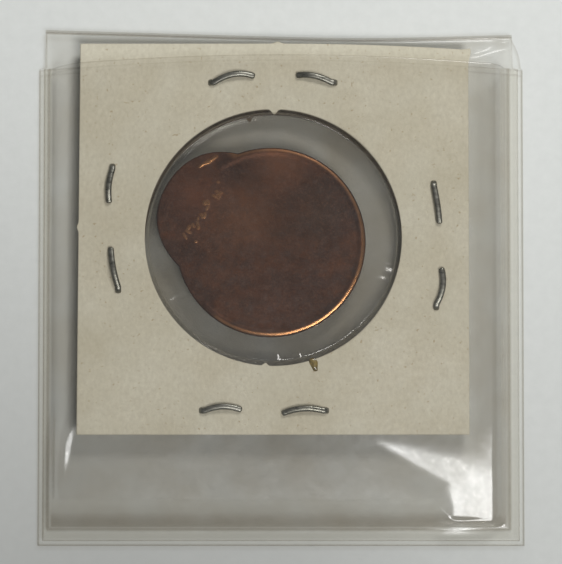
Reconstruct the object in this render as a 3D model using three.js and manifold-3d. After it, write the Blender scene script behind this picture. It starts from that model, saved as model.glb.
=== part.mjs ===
// A coin in a stapled square card holder, kept in the front pocket of a folded clear vinyl flip.
// Millimetres. X runs to the right, Y towards the fold and Z up, away from the table at z = 0.
// The origin is under the middle of the folded flip.

import * as THREE from "three";
import { mergeVertices } from "three/addons/utils/BufferGeometryUtils.js";
import Module from "manifold-3d";

const wasm = await Module();
wasm.setup();

// ---- Driving dimensions ----

const FLIP_WIDTH = 47.6;
const FLIP_HALF_LENGTH = 49.6; // from the free edge to the line that the flip folds on
const FLIP_BOTTOM = -24.9;
const VINYL = 0.2;
const FILM_GAP = 0.05; // between films that lie on each other
const WELD = { left: 1.45, right: 1.8, bottom: 1.6 }; // width of the welded margins
const WELD_SPREAD = 0.45; // the welded margins stand out past the bare strip by this much
const DRAWN_IN = { side: 0.5, bottom: 0.45 }; // the filled half bulges, so its edges draw in
const MOUTH_SIDE = 21.75; // y of the pocket's mouth at its two ends
const MOUTH_RISE = 1.1; // how far the mouth bows towards the fold in the middle
const POCKET_HEIGHT = 2.7; // free height inside the filled pocket
const POCKET_SLOPE = 2.6; // how far in from a weld the pocket reaches its full height

const CARD = { size: 38.1, leaf: 0.45, x: -0.78, y: 5.01 };
const CARD_BACK = 1.5; // z of the card's back face
const WINDOW = { radius: 12.5, x: -0.76, y: 5.13, rearShift: -0.5 }; // the rear leaf's window sits lower
const CLEAR_FILM = { size: 30, thickness: 0.06, plateauRadius: 11.95, cardGap: 0.05 };

const COIN = { radius: 9.23, thickness: 1.5, x: -1.0, y: 4.64 };
const COIN_RIM = { width: 0.6, height: 0.08 };
const COIN_LOBE = { radius: 6.45, x: -4.6, y: 2.4 }; // spread metal of the off-centre strike
const COIN_GAP = 0.06; // between the coin and each clear film

const WIRE = { width: 0.7, thickness: 0.45 };
const STAPLE_CROWN = 12.7; // outside width over the two legs
const STAPLE_LEG = 4.3; // length of each clinched end
const LEG_BOW = 0.05; // how far a clinched end bows away from the card
const LEG_HOLE_GAP = 0.1;
const STAPLES = {
  staple_top: { x: -0.8, y: 20.75, turn: 0 },
  staple_bottom: { x: -1.65, y: -11.7, turn: 0 },
  staple_left: { x: -16.45, y: 6.0, turn: 90 },
  staple_right: { x: 15.2, y: 4.35, turn: 90 },
};

// ---- Heights, from the table up ----

const REAR_POCKET_Z = 0;
const REAR_BACKING_Z = REAR_POCKET_Z + VINYL + FILM_GAP;
const FRONT_BACKING_Z = REAR_BACKING_Z + VINYL + FILM_GAP;
const FRONT_POCKET_Z = FRONT_BACKING_Z + VINYL + FILM_GAP;
const FOLD_Y = FLIP_BOTTOM + FLIP_HALF_LENGTH;
const FOLD_Z = FRONT_BACKING_Z - FILM_GAP / 2;
const PANEL_END = FOLD_Y - 0.25; // the flat panels stop here, clear of the turning fold
const FOLD_LEG = 0.05; // how far the fold strip runs on past its round
const FILM_PAIR_Z = CARD_BACK + CARD.leaf;
const CARD_MIDDLE = FILM_PAIR_Z + CLEAR_FILM.thickness;
const CARD_FRONT = CARD_MIDDLE + CLEAR_FILM.thickness + CARD.leaf;

// ---- Solids ----

function solid(geometry) {
  const bare = geometry.clone();
  bare.deleteAttribute("normal");
  bare.deleteAttribute("uv");
  const merged = mergeVertices(bare, 1e-5);
  return new wasm.Manifold(new wasm.Mesh({
    numProp: 3,
    vertProperties: new Float32Array(merged.attributes.position.array),
    triVerts: new Uint32Array(merged.index.array),
  }));
}

function geometryOf(manifold) {
  const mesh = manifold.getMesh();
  const geometry = new THREE.BufferGeometry();
  geometry.setAttribute("position", new THREE.BufferAttribute(mesh.vertProperties, 3));
  geometry.setIndex(new THREE.BufferAttribute(mesh.triVerts, 1));
  return geometry;
}

function box(left, right, bottom, top, low, high) {
  const geometry = new THREE.BoxGeometry(right - left, top - bottom, high - low);
  return geometry.translate((left + right) / 2, (bottom + top) / 2, (low + high) / 2);
}

function plate(shape, low, thickness, curveSegments = 24) {
  const options = { depth: thickness, bevelEnabled: false, curveSegments };
  return new THREE.ExtrudeGeometry(shape, options).translate(0, 0, low);
}

// A solid of revolution about a vertical axis at (x, y), from [radius, z] pairs.
function turned(profile, x, y, segments) {
  const points = profile.map(([radius, z]) => new THREE.Vector2(radius, z));
  return new THREE.LatheGeometry(points, segments).rotateX(Math.PI / 2).translate(x, y, 0);
}

// A centre line thickened to both sides, as a closed outline.
function band(line, thickness) {
  const sides = [1, -1].map((side) => line.map((point, i) => {
    const before = line[Math.max(i - 1, 0)];
    const after = line[Math.min(i + 1, line.length - 1)];
    const along = after.clone().sub(before).normalize();
    const across = new THREE.Vector2(-along.y, along.x);
    return point.clone().addScaledVector(across, side * thickness / 2);
  }));
  return new THREE.Shape([...sides[0], ...sides[1].reverse()]);
}

function arc(x, y, radius, from, to, steps) {
  return Array.from({ length: steps + 1 }, (_, i) => {
    const angle = THREE.MathUtils.degToRad(from + (to - from) * i / steps);
    return new THREE.Vector2(x + radius * Math.cos(angle), y + radius * Math.sin(angle));
  });
}

// ---- Vinyl flip ----

const EMPTY_HALF = { side: FLIP_WIDTH / 2, bottom: FLIP_BOTTOM };
const FILLED_HALF = { side: FLIP_WIDTH / 2 - DRAWN_IN.side, bottom: FLIP_BOTTOM + DRAWN_IN.bottom };

// A panel of the strip: its welded margins end at the pocket's mouth, where it narrows to the bare strip.
function panelShape({ side, bottom }) {
  const bare = side - WELD_SPREAD;
  const right = [[side, bottom], [side, MOUTH_SIDE], [bare, MOUTH_SIDE + WELD_SPREAD], [bare, PANEL_END]];
  const left = right.map(([x, y]) => [-x, y]).reverse();
  return new THREE.Shape([...right, ...left].map(([x, y]) => new THREE.Vector2(x, y)));
}

// A pocket film's outline: square at the welded end, with a mouth that bows towards the fold.
function pocketShape({ side, bottom }) {
  const shape = new THREE.Shape();
  shape.moveTo(-side, bottom);
  shape.lineTo(side, bottom);
  shape.lineTo(side, MOUTH_SIDE);
  shape.quadraticCurveTo(0, MOUTH_SIDE + 2 * MOUTH_RISE, -side, MOUTH_SIDE);
  return shape;
}

// A block whose left, right and bottom sides lean in, and which runs out past the mouth.
function leaningBlock(inset, low, high) {
  const half = FLIP_WIDTH / 2;
  const left = -half + WELD.left + inset;
  const right = half - WELD.right - inset;
  const bottom = FLIP_BOTTOM + WELD.bottom + inset;
  const geometry = box(left, right, bottom, FOLD_Y + VINYL, low, high);
  const position = geometry.attributes.position;
  for (let i = 0; i < position.count; i += 1) {
    if (position.getZ(i) > (low + high) / 2) {
      position.setX(i, position.getX(i) - Math.sign(position.getX(i)) * POCKET_SLOPE);
      if (position.getY(i) < 0) position.setY(i, position.getY(i) + POCKET_SLOPE);
    }
  }
  return solid(geometry);
}

function foldStrip() {
  const radius = VINYL / 2 + FILM_GAP / 2;
  const bareWidth = 2 * (FILLED_HALF.side - WELD_SPREAD);
  const line = [
    new THREE.Vector2(FOLD_Y - FOLD_LEG, FOLD_Z - radius),
    ...arc(FOLD_Y, FOLD_Z, radius, -90, 90, 12),
    new THREE.Vector2(FOLD_Y - FOLD_LEG, FOLD_Z + radius),
  ];
  const strip = new THREE.ExtrudeGeometry(band(line, VINYL), { depth: bareWidth, bevelEnabled: false });
  // The outline is drawn in Y and Z, so its plane is turned to face along X.
  strip.applyMatrix4(new THREE.Matrix4().makeBasis(
    new THREE.Vector3(0, 1, 0), new THREE.Vector3(0, 0, 1), new THREE.Vector3(1, 0, 0),
  ));
  return strip.translate(-bareWidth / 2, 0, 0);
}

function frontPocketFilm() {
  const roof = FRONT_POCKET_Z + POCKET_HEIGHT;
  const flange = solid(plate(pocketShape(FILLED_HALF), FRONT_POCKET_Z, VINYL));
  const outer = leaningBlock(0, FRONT_POCKET_Z, roof + VINYL);
  const inner = leaningBlock(VINYL, FRONT_POCKET_Z - VINYL, roof);
  const outline = solid(plate(pocketShape(FILLED_HALF), FRONT_POCKET_Z, POCKET_HEIGHT + VINYL));
  return geometryOf(flange.add(outer).subtract(inner).intersect(outline));
}

// ---- Card holder ----

function staplePlaces(visit) {
  Object.entries(STAPLES).forEach(([name, place]) => visit(name, place));
}

function windowCutter(low, high) {
  return [[0, low], [WINDOW.radius, low], [WINDOW.radius, high], [0, high]];
}

// One blank, scored and folded along its lower edge, with a slot between its leaves for the films.
function foldedCard() {
  const half = CARD.size / 2;
  const edges = [CARD.x - half, CARD.x + half, CARD.y - half, CARD.y + half];
  const [left, right, bottom, top] = edges;
  const slotLow = FILM_PAIR_Z;
  const slotHigh = CARD_FRONT - CARD.leaf;
  let card = solid(box(left, right, bottom, top, CARD_BACK, CARD_FRONT));
  card = card.subtract(solid(box(left - 1, right + 1, bottom + CARD.leaf, top + 1, slotLow, slotHigh)));
  const frontHole = turned(windowCutter(CARD_MIDDLE, CARD_FRONT + 1), WINDOW.x, WINDOW.y, 96);
  const rearHole = turned(windowCutter(0, CARD_MIDDLE), WINDOW.x, WINDOW.y + WINDOW.rearShift, 96);
  card = card.subtract(solid(frontHole)).subtract(solid(rearHole));
  const across = WIRE.width / 2 + LEG_HOLE_GAP;
  const along = WIRE.thickness + 2 * LEG_HOLE_GAP;
  const outer = STAPLE_CROWN / 2 + LEG_HOLE_GAP;
  staplePlaces((name, place) => {
    [1, -1].forEach((side) => {
      const ends = [side * outer, side * (outer - along)].sort((a, b) => a - b);
      const legHole = box(ends[0], ends[1], -across, across, 0, CARD_FRONT + 1);
      legHole.rotateZ(THREE.MathUtils.degToRad(place.turn)).translate(place.x, place.y, 0);
      card = card.subtract(solid(legHole));
    });
  });
  return geometryOf(card);
}

// A square of clear film, flat between the leaves and domed by the coin inside the window.
// way is 1 for the film over the coin and -1 for the film under it. Its middle lies shift away from the
// front window's, and its dome stays inside the window that it bulges through.
function clearFilm(way, shift, rim) {
  const half = CLEAR_FILM.size / 2;
  const thickness = CLEAR_FILM.thickness;
  const rise = COIN.thickness / 2 + COIN_GAP;
  const foot = rim - CLEAR_FILM.cardGap;
  const wide = rim - CLEAR_FILM.cardGap / 2;
  const x = WINDOW.x;
  const y = WINDOW.y + shift;
  const flat = new THREE.Shape();
  flat.moveTo(-half, -half).lineTo(half, -half).lineTo(half, half).lineTo(-half, half);
  flat.holes.push(new THREE.Path().absarc(0, 0, wide, 0, 2 * Math.PI, true));
  const square = plate(flat, 0, thickness, 72).translate(x, y, 0);
  const dome = turned([
    [0, rise], [CLEAR_FILM.plateauRadius, rise], [foot, 0], [wide + 0.2, 0],
    [wide + 0.2, thickness], [foot, thickness], [CLEAR_FILM.plateauRadius, rise + thickness],
    [0, rise + thickness],
  ], x, y, 72);
  let film = solid(square).add(solid(dome));
  if (way < 0) film = film.mirror([0, 0, 1]);
  return geometryOf(film.translate([0, 0, CARD_MIDDLE]));
}

// A wire staple: the crown lies behind the card, and the two legs are clinched in front of it.
function staple() {
  const wire = WIRE.thickness;
  const reach = (STAPLE_CROWN - wire) / 2;
  const back = CARD_BACK - 0.05 - wire / 2;
  const front = CARD_FRONT + 0.05 + wire / 2;
  const bend = 0.35;
  const legEnd = reach - STAPLE_LEG;
  const half = [
    ...arc(reach - bend, back + bend, bend, -90, 0, 5),
    ...arc(reach - bend, front - bend, bend, 0, 90, 5),
    new THREE.Vector2((reach + legEnd) / 2, front + LEG_BOW),
    new THREE.Vector2(legEnd, front),
  ];
  const mirrored = half.map((point) => new THREE.Vector2(-point.x, point.y)).reverse();
  const outline = band([...mirrored, ...half], wire);
  const geometry = new THREE.ExtrudeGeometry(outline, { depth: WIRE.width, bevelEnabled: false });
  return geometry.translate(0, 0, -WIRE.width / 2).rotateX(Math.PI / 2);
}

// ---- Coin ----

// A raised rim runs round the blank, and the struck lobe spreads past it on one side.
function coin() {
  const top = COIN.thickness / 2;
  const field = top - COIN_RIM.height;
  const inside = COIN.radius - COIN_RIM.width;
  const blank = turned([
    [0, -field], [inside, -field], [inside + 0.2, -top], [COIN.radius - 0.15, -top],
    [COIN.radius, -top + 0.15], [COIN.radius, top - 0.15], [COIN.radius - 0.15, top],
    [inside + 0.2, top], [inside, field], [0, field],
  ], COIN.x, COIN.y, 96);
  const lobe = turned([
    [0, -field], [COIN_LOBE.radius - 0.2, -field], [COIN_LOBE.radius, -field + 0.2],
    [COIN_LOBE.radius, field - 0.2], [COIN_LOBE.radius - 0.2, field], [0, field],
  ], COIN.x + COIN_LOBE.x, COIN.y + COIN_LOBE.y, 72);
  return geometryOf(solid(blank).add(solid(lobe)));
}

// ---- Assembly ----

const looks = {
  vinyl: { color: 0xb4b3ab, roughness: 0.2, metalness: 0, transparent: true, opacity: 0.35 },
  clear: { color: 0xbab8b2, roughness: 0.15, metalness: 0, transparent: true, opacity: 0.3 },
  card: { color: 0xd2ccb8, roughness: 0.9, metalness: 0 },
  steel: { color: 0x8f8f8c, roughness: 0.35, metalness: 1 },
  copper: { color: 0x7a5040, roughness: 0.45, metalness: 0.9 },
};

const model = new THREE.Group();

function piece(name, geometry, look, parent = model) {
  const mesh = new THREE.Mesh(geometry, new THREE.MeshStandardMaterial(looks[look]));
  mesh.name = name;
  parent.add(mesh);
  return mesh;
}

const frontHalf = new THREE.Group();
const rearHalf = new THREE.Group();
const holder = new THREE.Group();
model.add(frontHalf, rearHalf, holder);

piece("rear_pocket_film", plate(pocketShape(EMPTY_HALF), REAR_POCKET_Z, VINYL), "vinyl", rearHalf);
piece("rear_backing_film", plate(panelShape(EMPTY_HALF), REAR_BACKING_Z, VINYL), "vinyl", rearHalf);
piece("fold_strip", foldStrip(), "vinyl", frontHalf);
piece("front_backing_film", plate(panelShape(FILLED_HALF), FRONT_BACKING_Z, VINYL), "vinyl", frontHalf);
piece("front_pocket_film", frontPocketFilm(), "vinyl", frontHalf);

piece("folded_card", foldedCard(), "card", holder);
const rearFilmShift = WINDOW.rearShift / 2;
const rearFilmRim = WINDOW.radius - Math.abs(rearFilmShift);
piece("rear_window_film", clearFilm(-1, rearFilmShift, rearFilmRim), "clear", holder);
piece("front_window_film", clearFilm(1, 0, WINDOW.radius), "clear", holder);
staplePlaces((name, place) => {
  const mesh = piece(name, staple(), "steel", holder);
  mesh.position.set(place.x, place.y, 0);
  mesh.rotation.z = THREE.MathUtils.degToRad(place.turn);
});

const coinCentre = new THREE.Group();
coinCentre.position.z = CARD_MIDDLE;
model.add(coinCentre);
piece("coin", coin(), "copper", coinCentre);

export default model;
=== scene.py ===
"""A coin in a stapled card holder, kept in the front pocket of a folded clear vinyl flip.

Shapes are worked out in millimetres in the row frame, and become metres when a mesh is made.
"""

import math

import bmesh
import bpy
import numpy as np
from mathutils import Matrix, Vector


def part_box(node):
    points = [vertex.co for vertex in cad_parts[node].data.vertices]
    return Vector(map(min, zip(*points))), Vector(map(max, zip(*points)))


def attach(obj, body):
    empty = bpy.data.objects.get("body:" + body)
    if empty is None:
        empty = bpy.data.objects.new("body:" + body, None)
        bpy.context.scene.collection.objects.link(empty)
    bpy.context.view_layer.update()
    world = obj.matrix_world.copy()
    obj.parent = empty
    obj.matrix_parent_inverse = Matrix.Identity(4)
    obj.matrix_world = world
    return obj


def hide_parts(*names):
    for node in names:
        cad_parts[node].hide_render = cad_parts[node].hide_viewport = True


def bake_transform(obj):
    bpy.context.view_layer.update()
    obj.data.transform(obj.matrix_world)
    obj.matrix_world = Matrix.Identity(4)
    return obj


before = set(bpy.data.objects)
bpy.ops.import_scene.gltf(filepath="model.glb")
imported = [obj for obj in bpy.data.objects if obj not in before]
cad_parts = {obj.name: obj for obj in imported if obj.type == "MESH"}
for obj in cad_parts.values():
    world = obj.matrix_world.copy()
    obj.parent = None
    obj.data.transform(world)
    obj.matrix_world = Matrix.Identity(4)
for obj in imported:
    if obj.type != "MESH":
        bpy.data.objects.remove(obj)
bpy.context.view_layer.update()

MM = 0.001


def node_box(node):
    """The lowest and highest corner of a CAD node, in millimetres."""
    low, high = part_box(node)
    return np.array(low) / MM, np.array(high) / MM


# ---- Places that come from the frame ----

FRONT_FILM_LOW, FRONT_FILM_HIGH = node_box("front_pocket_film")
FRONT_BACK_LOW, FRONT_BACK_HIGH = node_box("front_backing_film")
REAR_FILM_LOW, REAR_FILM_HIGH = node_box("rear_pocket_film")
REAR_BACK_LOW, REAR_BACK_HIGH = node_box("rear_backing_film")
FOLD_LOW, FOLD_HIGH = node_box("fold_strip")
CARD_LOW, CARD_HIGH = node_box("folded_card")
WINDOW_LOW, WINDOW_HIGH = node_box("front_window_film")
WINDOW_CENTRE = (WINDOW_LOW + WINDOW_HIGH)[:2] / 2
CARD_MIDDLE = (CARD_LOW[2] + CARD_HIGH[2]) / 2
VINYL = REAR_FILM_HIGH[2] - REAR_FILM_LOW[2]
FOLD_Y = FOLD_HIGH[1] - (FOLD_HIGH[2] - FOLD_LOW[2]) / 2

# ---- Driving dimensions, in millimetres ----

# Left, right and bottom of the filled front half. The rear half's lie REAR_OUT further out.
CUT_EDGE = (-23.25, 23.25, -24.4)
PRESSED_LINE = (-22.75, 22.3, -23.25)
POCKET_FOOT = (-22.3, 21.8, -22.95)
REAR_OUT = 0.5
BORDER = 0.2  # width of the dark line along a cut edge
LINE_WIDTH = 0.17  # half the width of the pressed line round a pocket
CUT_DARKNESS = 0.55
SHOULDER = 21.8  # y above which the welded margins end and a half is narrower
NECK = {0.0: (-23.05, 22.75), REAR_OUT: (-23.2, 23.55)}  # sides just above the shoulder
FOLD_SIDES = (-23.1, 22.65)
FOLD_LOOP = 0.45  # how far the front layer springs up at the fold
FOLD_LOOP_START = 23.8
MOUTH_TOP = 22.85
MOUTH_RISE = 1.1
ROOF = FRONT_FILM_HIGH[2] - 0.10  # middle of the front pocket's film where it lies level
FLANGE = FRONT_FILM_LOW[2] + VINYL / 2  # middle of the same film where it is welded
FILM_THICKNESS = 0.14
TOUCHING = 0.6  # how clear a film looks that only rests on its neighbour, when a fused one is 1

WINDOW_RADIUS = 12.5
REAR_WINDOW_SHIFT = np.array([0, -0.5])
LEAF_SHADE_SPREAD = 3  # how far round the rear leaf's window its inside is painted dark brown as shade
LEAF = 0.45
WINDOW_FILM = 0.06
COIN_CENTRE = np.array([-1.0, 4.64])
COIN_RADIUS = 9.23
COIN_HALF = 0.75  # half its thickness, over its rim
LOBE_CENTRE = np.array([-4.6, 2.4])  # from the coin's centre
LOBE_RADIUS = 6.45
DIE_CENTRE = np.array([-12.76, 5.96])
DIE_RADIUS = 9.3


# ---- Mesh helpers ----

def smooth(t):
    """Rises from 0 to 1, with level ends, as t does."""
    t = np.clip(t, 0, 1)
    return t * t * (3 - 2 * t)


def bump_at(distance, width):
    """A soft ridge of height 1 along the line where distance is 0."""
    return np.exp(-(distance / width) ** 2)


def soft_ramp(t, width):
    """0 below t = 0 and t above it, with a rounded corner."""
    return width * np.logaddexp(0, t / width)


def turn_between(angle, degrees):
    """Signed angle from a direction in degrees."""
    return (angle - math.radians(degrees) + np.pi) % (2 * np.pi) - np.pi


def between(first, second, share):
    """The values of a list that goes from the first to the second as share goes from 0 to 1."""
    return [a + (b - a) * share for a, b in zip(first, second)]


def make_object(name, points, faces, material, masks=None):
    """masks are named values, one for each point, that the material reads as attributes."""
    mesh = bpy.data.meshes.new(name)
    mesh.from_pydata((np.asarray(points, float) * MM).tolist(), [], faces)
    for key, values in (masks or {}).items():
        attribute = mesh.attributes.new(key, "FLOAT", "POINT")
        attribute.data.foreach_set("value", np.asarray(values, np.float32))
    mesh.materials.append(material)
    mesh.polygons.foreach_set("use_smooth", [True] * len(mesh.polygons))
    mesh.update()
    piece = bpy.data.objects.new(name, mesh)
    bpy.context.scene.collection.objects.link(piece)
    return piece


def grid_faces(rows, columns, first=0, turn=False, wrap=False):
    """Quads over a grid of rows by columns points; wrap joins the last column to the first."""
    r, c = np.mgrid[0:rows - 1, 0:columns if wrap else columns - 1]
    r, c = r.ravel(), c.ravel()
    after = (c + 1) % columns
    here, above = r * columns, (r + 1) * columns
    quads = np.stack([here + c, here + after, above + after, above + c], 1)
    return (quads[:, ::-1] if turn else quads) + first


def film_mesh(centre, thickness):
    """A closed sheet, whose faces lie half a thickness from centre, a grid of points [rows, columns, 3]."""
    rows, columns = centre.shape[:2]
    normal = np.cross(np.gradient(centre, axis=1), np.gradient(centre, axis=0))
    normal /= np.linalg.norm(normal, axis=2, keepdims=True)
    top = (centre + normal * (thickness / 2)).reshape(-1, 3)
    under = (centre - normal * (thickness / 2)).reshape(-1, 3)
    count = rows * columns
    rim = np.concatenate([
        np.arange(columns), np.arange(1, rows) * columns + columns - 1,
        (rows - 1) * columns + np.arange(columns - 2, -1, -1), np.arange(rows - 2, 0, -1) * columns,
    ])
    after = np.roll(rim, -1)
    edge = np.stack([rim, rim + count, after + count, after], 1)
    faces = np.concatenate([grid_faces(rows, columns), grid_faces(rows, columns, count, True), edge])
    return np.concatenate([top, under]), faces


def join_meshes(parts):
    """Several (points, faces) meshes as one."""
    points, faces, first = [], [], 0
    for part_points, part_faces in parts:
        points.append(np.asarray(part_points))
        faces += [[int(i) + first for i in face] for face in part_faces]
        first += len(part_points)
    return np.concatenate(points), faces


def spaced(stops, counts):
    """Positions that run through the stops, with counts steps between each pair."""
    runs = [np.linspace(a, b, n, endpoint=False) for a, b, n in zip(stops, stops[1:], counts)]
    return np.append(np.concatenate(runs), stops[-1])


def swept(path, up, section, size):
    """A closed bar: section, a list of (across, up) pairs, is carried along path, size times as large."""
    path = np.asarray(path, float)
    along = np.gradient(path, axis=0)
    along /= np.linalg.norm(along, axis=1, keepdims=True)
    across = np.cross(along, up)
    across /= np.linalg.norm(across, axis=1, keepdims=True)
    lift = np.cross(across, along)
    section = np.asarray(section, float)[None] * np.asarray(size)[:, None, None]
    rings = path[:, None] + across[:, None] * section[..., :1] + lift[:, None] * section[..., 1:]
    rows, columns = rings.shape[:2]
    faces = grid_faces(rows, columns, wrap=True, turn=True).tolist()
    faces.append(list(range(columns)))
    faces.append(list(range((rows - 1) * columns, rows * columns))[::-1])
    return rings.reshape(-1, 3), faces


def fix_normals(piece):
    """Turns every face outwards."""
    work = bmesh.new()
    work.from_mesh(piece.data)
    bmesh.ops.recalc_face_normals(work, faces=work.faces)
    work.to_mesh(piece.data)
    work.free()
    return piece


# ---- Material helpers ----

class Nodes:
    """A short way to write a node material."""

    def __init__(self, name):
        self.material = bpy.data.materials.new(name)
        self.material.use_nodes = True
        self.tree = self.material.node_tree
        self.tree.nodes.clear()
        self.output = self.tree.nodes.new("ShaderNodeOutputMaterial")

    def add(self, kind, inputs=None, **settings):
        node = self.tree.nodes.new("ShaderNode" + kind)
        for key, value in settings.items():
            setattr(node, key, value)
        for key, value in (inputs or {}).items():
            self.set(node.inputs[key], value)
        return node

    def set(self, socket, value):
        if isinstance(value, bpy.types.Node):
            value = value.outputs[0]
        if isinstance(value, bpy.types.NodeSocket):
            self.tree.links.new(value, socket)
        else:
            socket.default_value = value

    def place(self):
        """The row frame's position, in metres."""
        return self.add("TexCoord").outputs["Object"]

    def near(self, centre, radius):
        """1 at a centre given in millimetres, falling smoothly to 0 at a radius from it."""
        middle = tuple(c * MM for c in centre)
        away = self.add("VectorMath", {0: self.place(), 1: middle}, operation="DISTANCE").outputs["Value"]
        return self.add("MapRange", {
            "Value": away, "From Min": 0.0, "From Max": radius * MM, "To Min": 1.0, "To Max": 0.0,
        }, interpolation_type="SMOOTHSTEP").outputs[0]

    def noise(self, scale, detail=4.0, roughness=0.55, stretch=None, seed=0.0):
        """Noise in the row frame, scale times as fine as a metre."""
        vector = self.place()
        if stretch or seed:
            vector = self.add("Mapping", {
                "Vector": vector, "Location": (seed, seed, 0), "Scale": stretch or (1, 1, 1),
            }).outputs[0]
        return self.add("TexNoise", {
            "Vector": vector, "Scale": scale, "Detail": detail, "Roughness": roughness,
        }).outputs["Fac"]

    def times(self, a, b, clamp=False):
        """The product of two values."""
        return self.add("Math", {0: a, 1: b}, operation="MULTIPLY", use_clamp=clamp).outputs[0]

    def mask(self, name):
        """A value that the mesh holds for each of its points, and 0 where it holds none."""
        return self.add("Attribute", attribute_name=name).outputs["Fac"]

    def ramp(self, value, stops):
        """A colour from a list of (position, colour)."""
        node = self.add("ValToRGB", {"Fac": value})
        elements = node.color_ramp.elements
        while len(elements) < len(stops):
            elements.new(1.0)
        for element, (position, colour) in zip(elements, stops):
            element.position = position
            element.color = (*colour, 1)
        return node.outputs[0]

    def level(self, value, low, high, out_low=0.0, out_high=1.0):
        """A value's range from low to high, carried over to out_low to out_high and held at its ends."""
        return self.add("MapRange", {
            "Value": value, "From Min": low, "From Max": high, "To Min": out_low, "To Max": out_high,
        }).outputs[0]

    def mix(self, factor, a, b):
        """A colour that goes from a to b as factor goes from 0 to 1."""
        node = self.add("Mix", data_type="RGBA")
        self.set(node.inputs["Factor"], factor)
        self.set(node.inputs["A"], a if not isinstance(a, tuple) else (*a, 1))
        self.set(node.inputs["B"], b if not isinstance(b, tuple) else (*b, 1))
        return node.outputs["Result"]

    def bump(self, height, distance, strength=1.0, normal=None):
        inputs = {"Height": height, "Distance": distance, "Strength": strength}
        if normal is not None:
            inputs["Normal"] = normal
        return self.add("Bump", inputs).outputs[0]

    def finish(self, shader):
        self.set(self.output.inputs["Surface"], shader)
        return self.material


def film_material(name, tint, haze, wave, roughness):
    """Clear film. Light goes straight through, apart from a mirrored share at each outer face.

    The mask called fused marks film that is welded to its neighbour, which mirrors less. The mask called
    dull marks film that mirrors nothing, and edge marks cut edges, pressed lines and the hem, which look
    dark;
    edge also carries painted shade, where the film is drawn darker at steep walls, over the closed end and
    at the fold.
    """
    inner_face = 1.55  # makes up for the mirroring of the film's inner face, which is left out
    welded_mirroring = 0.12
    m = Nodes(name)
    ripple = m.noise(220, 2.0)
    scuff = m.noise(1500, 3.0, 0.7, seed=3.0)
    normal = m.bump(scuff, 0.00001, 0.3, m.bump(ripple, wave))
    fused, dull, edge = m.mask("fused"), m.mask("dull"), m.mask("edge")
    outside = m.level(m.add("NewGeometry").outputs["Backfacing"], 0, 1, 1, 0)
    yellowed = tuple(c * t for c, t in zip(tint, (0.985, 0.98, 0.972)))
    through = m.mix(m.level(ripple, 0.35, 0.65), tint, yellowed)
    through = m.mix(fused, through, (0.998, 0.997, 0.993))
    # the edge mask darkens cut edges, pressed lines and the hem, and also carries painted shade
    through = m.mix(edge, through, (0.84, 0.825, 0.80))
    clear = m.add("BsdfTransparent", {"Color": through})
    gloss = m.add("BsdfGlossy", {
        "Color": (0.85, 0.85, 0.84, 1), "Normal": normal, "Roughness": m.level(scuff, 0.3, 0.7, *roughness),
    })
    dust = m.add("BsdfDiffuse", {"Color": (0.72, 0.71, 0.69, 1), "Normal": normal})
    mirror = m.add("Fresnel", {"IOR": 1.53, "Normal": normal}).outputs[0]
    share = m.times(m.times(mirror, inner_face, clamp=True), outside)
    share = m.times(share, m.level(fused, 0, 1, 1, welded_mirroring))
    share = m.times(share, m.level(dull, 0, 1, 1, 0))
    milk = m.times(m.level(scuff, 0.35, 0.8, haze * 0.5, haze * 2), outside)
    film = m.add("MixShader", {0: milk, 1: clear, 2: dust})
    return m.finish(m.add("MixShader", {0: share, 1: film, 2: gloss}))


def card_material():
    """Pale card, with painted shade: a mask darkens the rear leaf's inside round its window to brown."""
    m = Nodes("card_stock")
    fibre = m.noise(2900, 6.0, 0.75, stretch=(1, 0.7, 1))
    cloud = m.noise(170, 3.0, 0.5, seed=5.0)
    fleck = m.noise(3000, 2.0, 0.5, seed=2.0)
    colour = m.ramp(cloud, [(0.3, (0.575, 0.54, 0.42)), (0.7, (0.64, 0.605, 0.485))])
    colour = m.mix(m.level(fibre, 0.3, 0.7, 0.0, 0.7), colour, (0.46, 0.42, 0.325))
    colour = m.mix(m.level(fleck, 0.69, 0.74), colour, (0.42, 0.35, 0.24))
    # painted shade: the dark brown of the rear leaf's inside, shaded by the front leaf
    leaf_gap_shade = m.ramp(fibre, [(0.35, (0.075, 0.058, 0.04)), (0.65, (0.17, 0.13, 0.09))])
    colour = m.mix(m.mask("leaf_gap_shade"), colour, leaf_gap_shade)
    return m.finish(m.add("BsdfPrincipled", {
        "Base Color": colour, "Roughness": 0.86, "Normal": m.bump(fibre, 0.00004, 0.5),
        "Specular IOR Level": 0.25,
    }))


def steel_material():
    """Dull staple wire, with fine drawing lines."""
    m = Nodes("staple_steel")
    line = m.noise(2600, 3.0, 0.6, stretch=(0.3, 1, 1))
    colour = m.ramp(line, [(0.3, (0.12, 0.12, 0.10)), (0.7, (0.25, 0.245, 0.215))])
    return m.finish(m.add("BsdfPrincipled", {
        "Base Color": colour, "Metallic": 0.9, "Roughness": m.level(line, 0.3, 0.7, 0.24, 0.4),
        "Normal": m.bump(line, 0.00001, 0.4),
    }))


# Centre, radius and colour of the coin's toned patches.
COPPER_PATCHES = [
    ((-3.3, 7.0), 5.5, (0.19, 0.082, 0.042)),
    ((0.0, 12.4), 4.5, (0.19, 0.072, 0.030)),
    ((-0.8, -0.6), 6.0, (0.080, 0.027, 0.012)),
    ((3.8, 7.5), 5.0, (0.075, 0.040, 0.026)),
    ((-8.5, 9.5), 4.0, (0.17, 0.060, 0.027)),
]


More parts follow.
